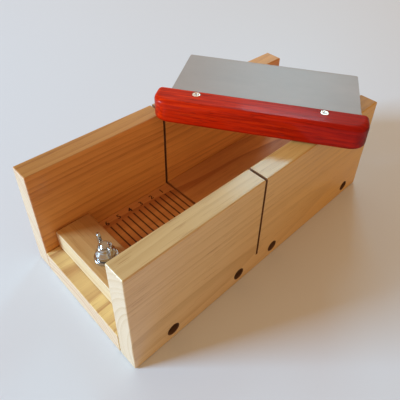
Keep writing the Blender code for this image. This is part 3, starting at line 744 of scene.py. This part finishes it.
def build_camera():
    """Camera above the stop end, looking down the trough."""
    data = bpy.data.cameras.new("camera")
    data.sensor_width = 36.0
    data.lens = CAMERA_LENS
    data.shift_x, data.shift_y = CAMERA_SHIFT
    data.clip_start = 0.01
    data.clip_end = 20.0
    camera = bpy.data.objects.new("camera", data)
    camera.location = CAMERA_PLACE
    azimuth = radians(CAMERA_AZIMUTH)
    elevation = radians(CAMERA_ELEVATION)
    roll = radians(CAMERA_ROLL)
    back = Vector((sin(azimuth) * cos(elevation), -cos(azimuth) * cos(elevation), sin(elevation)))
    right = Vector((cos(azimuth), sin(azimuth), 0))
    up = back.cross(right)
    rolled_right = right * cos(roll) + up * sin(roll)
    rolled_up = up * cos(roll) - right * sin(roll)
    camera.rotation_euler = Matrix((rolled_right, rolled_up, back)).transposed().to_euler()
    bpy.context.scene.collection.objects.link(camera)
    bpy.context.scene.camera = camera


def build_light():
    """Cool daylight, mostly from the stop end's left, in a warm room; the camera sees a grey backdrop."""
    scene = bpy.context.scene
    scene.view_settings.view_transform = "Standard"
    scene.view_settings.look = "None"
    world = bpy.data.worlds.new("room")
    scene.world = world
    world.use_nodes = True
    tree = world.node_tree
    background = tree.nodes["Background"]
    mix = tree.nodes.new("ShaderNodeMix")
    mix.data_type = "RGBA"
    mix.inputs[6].default_value = (*ROOM_LIGHT, 1)
    mix.inputs[7].default_value = (*BACKDROP, 1)
    tree.links.new(tree.nodes.new("ShaderNodeLightPath").outputs["Is Camera Ray"], mix.inputs[0])
    tree.links.new(mix.outputs[2], background.inputs["Color"])
    for light in LIGHTS:
        area_light(*light)


# ---------------------------------------------------------------- the trough

def screw_list():
    """Name, side (1 left, -1 right) and place of the head's face of each screw."""
    for side_name, side in (("left", 1), ("right", -1)):
        for number in range(1, 5):
            name = f"{side_name}_screw_{number}"
            low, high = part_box(name)
            middle = (low + high) / 2
            head_y = high.y if side > 0 else low.y
            yield name, side, Vector((middle.x, head_y, middle.z))


def outward(side, place):
    """A frame whose +Z points out of the left or right wall, at a place."""
    return Matrix.Translation(place) @ Matrix.Rotation(-side * pi / 2, 4, "X")


def screw_holes(sides):
    """Cutters for the counterbores and screw holes of the given sides."""
    tools = []
    bore = SCREW_HEAD + BORE_ROOM
    hole = SCREW_CREST + SCREW_ROOM
    seat = -(SCREW_HEAD_DEPTH + GAP)
    deep = -(SCREW_LENGTH + GAP)
    for name, side, place in screw_list():
        if side not in sides:
            continue
        face = HALF_WIDTH - abs(place.y)
        profile = [(bore + HOLE_LIP + CUT, face + CUT), (bore, face - HOLE_LIP), (bore, seat), (hole, seat),
                   (hole, deep), (hole / 4, deep - hole)]
        # Painted shade: the bore's faces take the dark bored colour.
        tools.append(turned(name + "_bore", profile, outward(side, place), PAINTED_SHADE_BORED, steps=BORE_SIDES))
    return tools


def kerf_tool(material):
    """The saw cut, slightly widened at its mouth."""
    half = KERF_WIDTH / 2
    bottom = FLOOR - KERF_DEPTH_IN_BASE
    top = wall_high.z
    section = [(-half, bottom), (half, bottom), (half, top - KERF_LIP), (half + KERF_LIP + CUT, top + CUT),
               (-half - KERF_LIP - CUT, top + CUT), (-half, top - KERF_LIP)]
    bm = bmesh.new()
    loft(bm, [[(KERF_X + x, y, z) for x, z in section] for y in (-HALF_WIDTH - CUT, HALF_WIDTH + CUT)])
    return new_object("kerf_tool", bm, material=material)


def plank(name, low, high, edge, material):
    """A planed board with eased edges."""
    bm = bmesh.new()
    cuboid(bm, low, high)
    board = new_object(name, bm, material=material)
    bevel = board.modifiers.new("Eased edges", "BEVEL")
    bevel.width = edge
    bevel.segments = BEVEL_STEPS
    bevel.limit_method = "ANGLE"
    return board


def build_walls():
    """Both side walls."""
    # Painted shade: the kerf's faces take the dark sawn colour.
    kerf = kerf_tool(PAINTED_SHADE_SAWN)
    for node, side, material in (("left_wall", 1, LEFT_PINE), ("right_wall", -1, RIGHT_PINE)):
        low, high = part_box(node)
        wall = plank("planed_" + node, low, high, WALL_EDGE, material)
        holes = screw_holes((side,))
        cut(wall, kerf, *holes)
        fit(settle(wall), "box", "pine_wall", node)
        remove(*holes)
    remove(kerf)


def slot_tool(name, radius, low, high, material):
    """A cutter with round ends along the stop's travel."""
    joint = next(j for j in frame["joints"] if j["name"] == "stop_slide")
    back, forward = joint["range_m"]
    bm = bmesh.new()
    starts = [(STOP_X + back - SLOT_END_ROOM, 90, 270), (STOP_X + forward + SLOT_END_ROOM, -90, 90)]
    outline = [p for x, start, end in starts for p in arc((x, 0), radius, start, end, SLOT_STEPS)]
    loft(bm, [[(x, y, z) for x, y in outline] for z in (low, high)])
    return new_object(name, bm, material=material)


def scale_lines():
    """Cutters for the engraved lines, one every half centimetre from the kerf."""
    bm = bmesh.new()
    for number in range(1, SCALE_LINES + 1):
        x = KERF_X - number * SCALE_STEP
        half = SCALE_LINE_WIDTH / 2
        low = (x - half, -SCALE_HALF_WIDTH, FLOOR - SCALE_DEPTH)
        cuboid(bm, low, (x + half, SCALE_HALF_WIDTH, FLOOR + CUT))
    return new_object("scale_lines", bm, material=BURNT_AND_GAP_SHADE)


def numeral(number):
    """A cutter for one centimetre number beside its line."""
    text = bpy.data.curves.new("numeral", "FONT")
    text.body = str(number)
    text.size = NUMERAL_SIZE
    text.align_x = "CENTER"
    text.align_y = "CENTER"
    text.extrude = SCALE_DEPTH
    text.resolution_u = NUMERAL_CURVE_STEPS
    text.offset = NUMERAL_BOLDNESS
    sketch = bpy.data.objects.new("numeral", text)
    bpy.context.scene.collection.objects.link(sketch)
    bpy.context.view_layer.update()
    mesh = bpy.data.meshes.new_from_object(sketch.evaluated_get(bpy.context.evaluated_depsgraph_get()))
    remove(sketch)
    bm = bmesh.new()
    bm.from_mesh(mesh)
    bmesh.ops.remove_doubles(bm, verts=bm.verts, dist=MERGE_DISTANCE)
    place = Vector((KERF_X - 2 * number * SCALE_STEP, NUMERAL_Y, FLOOR))
    return new_object(f"numeral_{number}", bm, Matrix.Translation(place), BURNT_AND_GAP_SHADE)


def build_base():
    """The floor board with its slot, the channel under it and the burnt scale."""
    base = plank("engraved_base", base_low, base_high, BOARD_EDGE, BASE_PINE)
    # Painted shade: the floor's kerf takes a darker sawn colour, and the slot and the channel under it take
    # dark colours too.
    kerf = kerf_tool(PAINTED_SHADE_SAWN_FLOOR)
    slot = slot_tool("slot", BOLT_RADIUS + BOLT_ROOM, -CUT, FLOOR + CUT, PAINTED_SHADE_SAWN)
    channel = slot_tool("channel", HEAD_RADIUS + HEAD_ROOM, -CUT, BOLT_SEAT + GAP, PAINTED_SHADE_BORED)
    holes = screw_holes((1, -1))
    lines = scale_lines()
    numerals = [numeral(number) for number in range(1, SCALE_LINES // 2)]
    tools = [kerf, lines, *numerals, channel, slot, *holes]
    cut(base, *tools)
    fit(settle(base), "box", "pine_base", "base_board")
    remove(*tools)


# ---------------------------------------------------------------- screws

def helix_reach(core, crest, pitch, height, angle):
    """The radius of a V thread at a height and angle."""
    phase = (height / pitch - angle / tau) % 1.0
    return core + (crest - core) * max(0.0, 1 - abs(phase - 0.5) * THREAD_STEEPNESS)


def thread_loop(core, crest, pitch, height, shank, fade, taper=1.0, steps=FINE):
    """Points round a threaded shank; the thread grows out of the plain shank with fade."""

    def radius(angle):
        """The tapered shank, and the thread's share of its depth."""
        reach = helix_reach(core, crest, pitch, height, angle)
        return shank * taper + (reach - shank) * fade

    return circle(0, height, steps, radius)


def screw_mesh():
    """One countersunk screw, its head's face at the origin and its tip on -Z."""
    rim = SCREW_HEAD - SCREW_EASE
    head = [(rim * SCREW_DISH_SHARE, -SCREW_DISH), (rim, 0), (SCREW_HEAD, -SCREW_EASE),
            (SCREW_HEAD, -SCREW_RIM), (SCREW_CORE, -SCREW_HEAD_DEPTH)]
    loops = [circle(radius, height, SCREW_SIDES) for radius, height in head]
    start = -SCREW_HEAD_DEPTH - SCREW_NECK
    run = SCREW_LENGTH - SCREW_HEAD_DEPTH - SCREW_NECK - SCREW_TIP_FLAT
    for i in range(SCREW_ROWS + 1):
        height = start - run * i / SCREW_ROWS
        taper = min(1.0, (SCREW_LENGTH + height) / SCREW_TIP)
        fade = min(1.0, i / SCREW_FADE_ROWS) * taper
        loops.append(thread_loop(SCREW_CORE, SCREW_CREST, SCREW_PITCH, height, SCREW_CORE, fade, taper,
                                 SCREW_SIDES))
    bm = bmesh.new()
    loft(bm, loops)
    screw = new_object("screw_body", bm, material=SCREW_STEEL)
    tools = []
    for turn in (0, pi / 2):
        bm = bmesh.new()
        loft(bm, [[(x * span / 2, y * width / 2, height) for x, y in SQUARE]
                  for height, span, width in CROSS_LEVELS])
        tools.append(new_object("cross", bm, Matrix.Rotation(turn, 4, "Z"), SCREW_STEEL))
    cut(screw, *tools)
    mesh = settle(screw).data
    remove(screw, *tools)
    return mesh


def build_screws():
    """Eight screws that share one mesh, each turned differently."""
    mesh = screw_mesh()
    for number, (name, side, place) in enumerate(screw_list()):
        screw = bpy.data.objects.new("fine_" + name, mesh)
        bpy.context.scene.collection.objects.link(screw)
        turn = SCREW_FIRST_TURN + SCREW_NEXT_TURN * number
        screw.matrix_world = outward(side, place) @ Matrix.Rotation(turn, 4, "Z")
        fit(screw, "box", "screw_steel", name)


# ---------------------------------------------------------------- the stop and its clamp

def build_stop():
    """The stop block with its bolt hole, and the washer on it."""
    block = plank("planed_stop_block", stop_low, stop_high, STOP_EDGE, STOP_PINE)
    half = (stop_high.z - stop_low.z) / 2
    inner = BOLT_RADIUS + BOLT_ROOM
    middle = Matrix.Translation((STOP_X, 0, (stop_low.z + stop_high.z) / 2))
    # Painted shade: the hole's wall takes the dark bored colour.
    hole = turned("hole", [(inner, -half - CUT), (inner, half + CUT)], middle, PAINTED_SHADE_BORED)
    cut(block, hole)
    fit(settle(block), "stop", "pine_stop", "stop_block")
    remove(hole)
    outer = (washer_high.y - washer_low.y) / 2
    thick = washer_high.z - washer_low.z
    roll = thick * WASHER_ROLL_SHARE
    lip = WASHER_LIP
    profile = arc((outer - roll, thick - roll), roll, 90, 0)
    profile += arc((outer - lip, lip), lip, 0, -90, 3)
    profile += arc((inner + lip, lip), lip, 270, 180, 3)
    profile += arc((inner + roll / 2, thick - roll / 2), roll / 2, 180, 90, 4)
    place = Matrix.Translation((STOP_X, 0, washer_low.z))
    washer = turned("fine_washer", profile, place, ZINC, ring=True, steps=WASHER_SIDES)
    fit(settle(washer), "stop", "zinc", "stop_washer")


def square_neck(angle):
    """The radius of the carriage bolt's square neck, with eased corners."""
    return min(NECK_HALF / max(abs(cos(angle)), abs(sin(angle))), NECK_HALF * NECK_CORNER)


def build_bolt():
    """Carriage bolt with a domed head, a square neck and a rolled thread."""
    length = bolt_high.z - BOLT_SEAT
    core = BOLT_RADIUS - THREAD_DEPTH
    angles = [pi / 2 * i / HEAD_STEPS for i in range(1, HEAD_STEPS + 1)]
    loops = [circle(HEAD_RADIUS * sin(a), -HEAD_RIM - (HEAD_HEIGHT - HEAD_RIM) * cos(a)) for a in angles]
    loops += [circle(HEAD_RADIUS, -EASE), circle(HEAD_RADIUS - EASE, 0), circle(NECK_HALF * NECK_FLARE, 0)]
    loops += [circle(0, height, shape=square_neck) for height in (0, 2 * EASE, NECK_HEIGHT - NECK_EASE)]
    loops += [circle(BOLT_RADIUS, NECK_HEIGHT), circle(BOLT_RADIUS, length - BOLT_THREAD - BOLT_RUNOUT)]
    rows = int(BOLT_THREAD / BOLT_PITCH * BOLT_ROWS_PER_TURN)
    for i in range(rows + 1):
        height = length - BOLT_THREAD + (BOLT_THREAD - BOLT_END) * i / rows
        fade = min(1.0, i / BOLT_FADE_ROWS)
        loops.append(thread_loop(core, BOLT_RADIUS, BOLT_PITCH, height, BOLT_RADIUS, fade))
    end = [(core, length - 5 * EASE), (core - 4 * EASE, length - EASE), (core - 6 * EASE, length)]
    loops += [circle(radius, height) for radius, height in end]
    bm = bmesh.new()
    loft(bm, loops)
    bolt = new_object("fine_bolt", bm, Matrix.Translation((STOP_X, 0, BOLT_SEAT)), ZINC)
    fit(settle(bolt), "clamp_bolt", "zinc", "stop_bolt")


def wing_sections():
    """Outline of one wing as (radius, height, radius of corner), foot first.

    The wings stand nearly along Y, so the nut's box gives their reach.
    """
    tip = max(abs(nut_high.y), abs(nut_low.y)) / abs(sin(NUT_TURN))
    top = nut_high.z - nut_low.z - EASE
    return [(WING_FOOT, 0.0012, 0.0002), (tip - 0.0027, 0.0027, 0.0020), (tip - 0.0002, 0.0086, 0.0030),
            (tip - 0.0005, top, 0.0018), (tip - 0.0040, top, 0.0016),
            (0.0046, WING_FOOT_TOP, 0.0014), (WING_FOOT, WING_FOOT_TOP, 0.0002)]


def round_corners(corners, steps=6):
    """Points round corners given as (x, y, radius)."""
    points = []
    count = len(corners)
    for i, (x, y, radius) in enumerate(corners):
        here = Vector((x, y))
        to_last = (Vector(corners[i - 1][:2]) - here).normalized()
        to_next = (Vector(corners[(i + 1) % count][:2]) - here).normalized()
        half = to_last.angle(to_next) / 2
        reach = radius * cos(half) / sin(half)
        start = here + to_last * reach
        end = here + to_next * reach
        for k in range(steps + 1):
            t = k / steps
            points.append(start * (1 - t) ** 2 + here * 2 * t * (1 - t) + end * t ** 2)
    return points


def build_wing_nut():
    """Wing nut fused from a turned hub and two wings, with soft cast corners."""
    bm = bmesh.new()
    ease = NUT_EASE
    hub = [(NUT_BORE, 0.0003), (NUT_BORE + ease, NUT_UNDERSIDE), (NUT_BASE - ease, NUT_UNDERSIDE),
           (NUT_BASE, 0.0005), (NUT_BASE, NUT_BASE_TOP), (NUT_BASE - 0.0003, NUT_BASE_TOP + ease),
           (NUT_HUB + 0.0002, NUT_HUB_FOOT - ease), (NUT_HUB, NUT_HUB_FOOT), (NUT_HUB - EASE, NUT_HUB_TOP),
           (NUT_HUB - 0.0005, NUT_HUB_TOP + ease), (NUT_BORE + ease, NUT_HUB_TOP + ease),
           (NUT_BORE, NUT_HUB_TOP + EASE)]
    loft(bm, [circle(radius, height) for radius, height in hub], ring=True)
    outline = round_corners(wing_sections())
    middle = sum(outline, Vector((0, 0))) / len(outline)
    face = WING_THICK / 2
    for side in (1, -1):
        loops = []
        for offset, share in ((-face, WING_FACE_SHARE), (WING_EASE - face, 1.0),
                              (face - WING_EASE, 1.0), (face, WING_FACE_SHARE)):
            points = [middle + (point - middle) * share for point in outline]
            loops.append([(side * p.x, offset, p.y) for p in points])
        loft(bm, loops)
    place = Matrix.Translation((STOP_X, 0, nut_low.z)) @ Matrix.Rotation(NUT_TURN, 4, "Z")
    nut = new_object("fine_wing_nut", bm, place, ZINC)
    remesh = nut.modifiers.new("Fuse", "REMESH")
    remesh.mode = "VOXEL"
    remesh.voxel_size = CAST_VOXEL
    smooth = nut.modifiers.new("Soften", "SMOOTH")
    smooth.factor = 0.5
    smooth.iterations = CAST_SMOOTHING
    settle(nut)
    # The fused casting needs no weighted normals and is one metal throughout.
    nut.modifiers.clear()
    nut.data.materials.clear()
    nut.data.materials.append(ZINC)
    fit(nut, "clamp_nut", "zinc", "wing_nut")


# ---------------------------------------------------------------- the slicer

def rivet_places():
    """The place in the slicer's axes of each rivet, the first one first."""
    for number in (1, 2):
        middle = sum(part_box(f"rivet_sleeve_{number}"), Vector()) / 2
        yield Vector((*(SLICER.inverted() @ middle).xy, 0))


def build_handle():
    """Round-edged handle, softest at its grip corners, with a blade slot and seats for the rivets."""
    low, high = slicer_box("slicer_handle")
    half = high.z
    quarter = [pi / 2 * i / EDGE_STEPS for i in range(EDGE_STEPS + 1)]
    sections = [(HANDLE_EDGE + EASE, -half)]
    sections += [(HANDLE_EDGE * (1 - sin(a)), -half + HANDLE_EDGE * (1 - cos(a))) for a in quarter]
    sections += [(HANDLE_EDGE * (1 - sin(a)), half - HANDLE_EDGE * (1 - cos(a))) for a in reversed(quarter)]
    sections += [(HANDLE_EDGE + EASE, half)]
    bm = bmesh.new()
    plans = []
    for inset, height in sections:
        grip_corner = HANDLE_GRIP_CORNER + HANDLE_CORNER_SPREAD * inset / HANDLE_EDGE
        plans.append(rounded_plan(low, high, grip_corner, HANDLE_BLADE_CORNER, inset, height))
    loft(bm, plans)
    handle = new_object("turned_handle", bm, SLICER, RED_WOOD)
    blade_min, blade_max = slicer_box("slicer_blade")
    room = Vector((GAP, GAP, GAP))
    mouth = Vector((blade_max.x + GAP, high.y + CUT, blade_max.z + GAP))
    # Painted shade: the blade slot and the rivet seats take the near-black burnt colour, for the shade in
    # the gaps round the blade and rivets.
    tools = [box_tool("slot", blade_min - room, mouth, BURNT_AND_GAP_SHADE)]
    tools[0].matrix_world = SLICER
    hole = RIVET_TUBE + GAP
    seat = RIVET_FLANGE + GAP / 2
    step = half - RIVET_FLANGE_HEIGHT - GAP
    for place in rivet_places():
        profile = [(seat, -half - CUT), (seat, -step), (hole, -step)]
        profile += [(radius, -height) for radius, height in reversed(profile)]
        tools.append(turned("rivet_hole", profile, SLICER @ Matrix.Translation(place), BURNT_AND_GAP_SHADE))
    cut(handle, *tools)
    fit(settle(handle), "slicer", "red_wood", "slicer_handle")
    remove(*tools)


def build_blade():
    """Flat blade with a ground edge, broken corners and rivet holes."""
    low, high = slicer_box("slicer_blade")
    half = high.z
    thin = BLADE_THIN / 2
    bm = bmesh.new()
    loops = []
    for height, inset, ground in ((-half, EASE, BLADE_GROUND), (EASE - half, 0, BLADE_GROUND - EASE),
                                  (-thin, 0, 0), (thin, 0, 0),
                                  (half - EASE, 0, BLADE_GROUND - EASE), (half, EASE, BLADE_GROUND)):
        top = Vector((high.x, high.y - ground, 0))
        loops.append(rounded_plan(low, top, BLADE_CORNER, BLADE_CORNER, inset, height))
    loft(bm, loops)
    blade = new_object("ground_blade", bm, SLICER, BLADE_STEEL)
    tools = []
    hole = RIVET_TUBE + GAP
    for place in rivet_places():
        matrix = SLICER @ Matrix.Translation(place)
        tools.append(turned("rivet_hole", [(hole, -CUT), (hole, CUT)], matrix, BLADE_STEEL))
    cut(blade, *tools)
    fit(settle(blade), "slicer", "blade_steel", "slicer_blade")
    remove(*tools)


def build_rivets():
    """Tubular rivets: a sleeve with a rolled flange, and a domed pin from below."""
    face = slicer_box("slicer_handle")[1].z
    flange = RIVET_FLANGE
    roll = RIVET_FLANGE_HEIGHT / 2
    lip = RIVET_BORE_LIP
    bore = RIVET_PIN + RIVET_PIN_ROOM
    for number, place in enumerate(rivet_places(), 1):
        matrix = SLICER @ Matrix.Translation(place)
        foot = -face + RIVET_FLANGE_HEIGHT + GAP
        profile = [(bore, foot), (RIVET_TUBE, foot), (RIVET_TUBE, face - RIVET_FLANGE_HEIGHT)]
        profile += arc((flange - roll, face - roll), roll, -90, 90, 10)
        profile += arc((bore + lip, face - lip), lip, 90, 180, 5)
        sleeve = turned(f"fine_rivet_sleeve_{number}", profile, matrix, RIVET_BRASS, ring=True)
        fit(settle(sleeve), "slicer", "rivet_brass", f"rivet_sleeve_{number}")
        dome = face - RIVET_PIN_SINK
        profile = [(flange - inward, -face + rise) for inward, rise in RIVET_HEAD_POINTS]
        profile += [(flange, -face + RIVET_FLANGE_HEIGHT), (RIVET_PIN, -face + RIVET_FLANGE_HEIGHT)]
        profile += [(RIVET_PIN * share, dome - drop) for share, drop in RIVET_DOME_POINTS]
        pin = turned(f"fine_rivet_pin_{number}", profile, matrix, RIVET_STEEL)
        fit(settle(pin), "slicer", "blade_steel", f"rivet_pin_{number}")


# ---------------------------------------------------------------- finishes

# Painted light and shade: the boards below take pine's top, far and near multipliers; STOP_SPAN is where
# the stop block's painted shade grows towards its back.
STOP_SPAN = ((stop_low.x - NEAR_END) / TROUGH_LENGTH, (stop_high.x - NEAR_END) / TROUGH_LENGTH)
LEFT_PINE = pine("left_pine", (0.75, 0.335, 0.082), (0.49, 0.172, 0.035), pith=(0.115, -0.03),
                 tilt=(0.05, 0.06), seed=2.3, contrast=0.6, streaks=0.9, gloss=0.40,
                 painted_top_shade=(0.71, 0.79, 0.85), painted_far_shading=(1.36, 1.44, 1.70), far_span=(0.05, 0.75))
RIGHT_PINE = pine("right_pine", (0.83, 0.60, 0.30), (0.59, 0.37, 0.145), pith=(-0.11, 0.02),
                  tilt=(0.03, -0.04), seed=5.1, contrast=0.5, streaks=0.6, gloss=0.36, varnish=0.35,
                  painted_top_shade=(0.80, 0.82, 0.78), painted_far_shading=(1.00, 0.78, 0.30))
BASE_PINE = pine("base_pine", (0.84, 0.41, 0.13), (0.50, 0.178, 0.050), pith=(0.01, -0.07),
                 tilt=(0.02, 0.03), seed=8.7, contrast=0.8, varnish=0.0, painted_near_light=(1.14, 1.82, 2.40),
                 scorched=True)
STOP_PINE = pine("stop_pine", (0.88, 0.70, 0.44), (0.68, 0.47, 0.24), pith=(0.06, 0.09), tilt=(0.03, 0.02),
                 seed=1.9, contrast=0.5, streaks=0.6, painted_top_shade=(0.82, 0.66, 0.41),
                 painted_far_shading=(0.60, 0.42, 0.32), far_span=STOP_SPAN, along="y")
# Painted shade: the sawn, sawn floor and bored colours stand for the shade inside the kerf, the slot, the
# channel and the holes.
PAINTED_SHADE_SAWN = rough_cut("sawn_wood_painted_shade", (0.16, 0.066, 0.025), (0.34, 0.155, 0.06), (700, 90, 900))
PAINTED_SHADE_SAWN_FLOOR = rough_cut("sawn_floor_painted_shade", (0.40, 0.155, 0.05), (0.66, 0.30, 0.11), (700, 90, 900))
PAINTED_SHADE_BORED = rough_cut("bored_wood_painted_shade", (0.085, 0.035, 0.014), (0.24, 0.12, 0.05), (200, 1400, 200))
# The burnt colour is the engraving's own; on the handle's blade slot and rivet seats it is painted shade.
BURNT_AND_GAP_SHADE = rough_cut("burnt_wood_and_gap_shade", (0.020, 0.007, 0.004), (0.10, 0.034, 0.014), (600, 600, 600))
RED_WOOD = red_wood()
BLADE_STEEL = blade_steel()
ZINC = plated("zinc", (0.44, 0.45, 0.45), (0.62, 0.63, 0.63), 0.15)
SCREW_STEEL = plated("screw_steel", (0.20, 0.19, 0.18), (0.32, 0.30, 0.28), 0.38)
RIVET_BRASS = plated("rivet_brass", (0.90, 0.80, 0.72), (0.97, 0.89, 0.82), 0.24)
RIVET_STEEL = plated("rivet_steel", (0.46, 0.44, 0.42), (0.60, 0.58, 0.56), 0.35)

build_camera()
build_light()
build_stage()
build_walls()
build_base()
build_screws()
build_stop()
build_bolt()
build_wing_nut()
build_handle()
build_blade()
build_rivets()
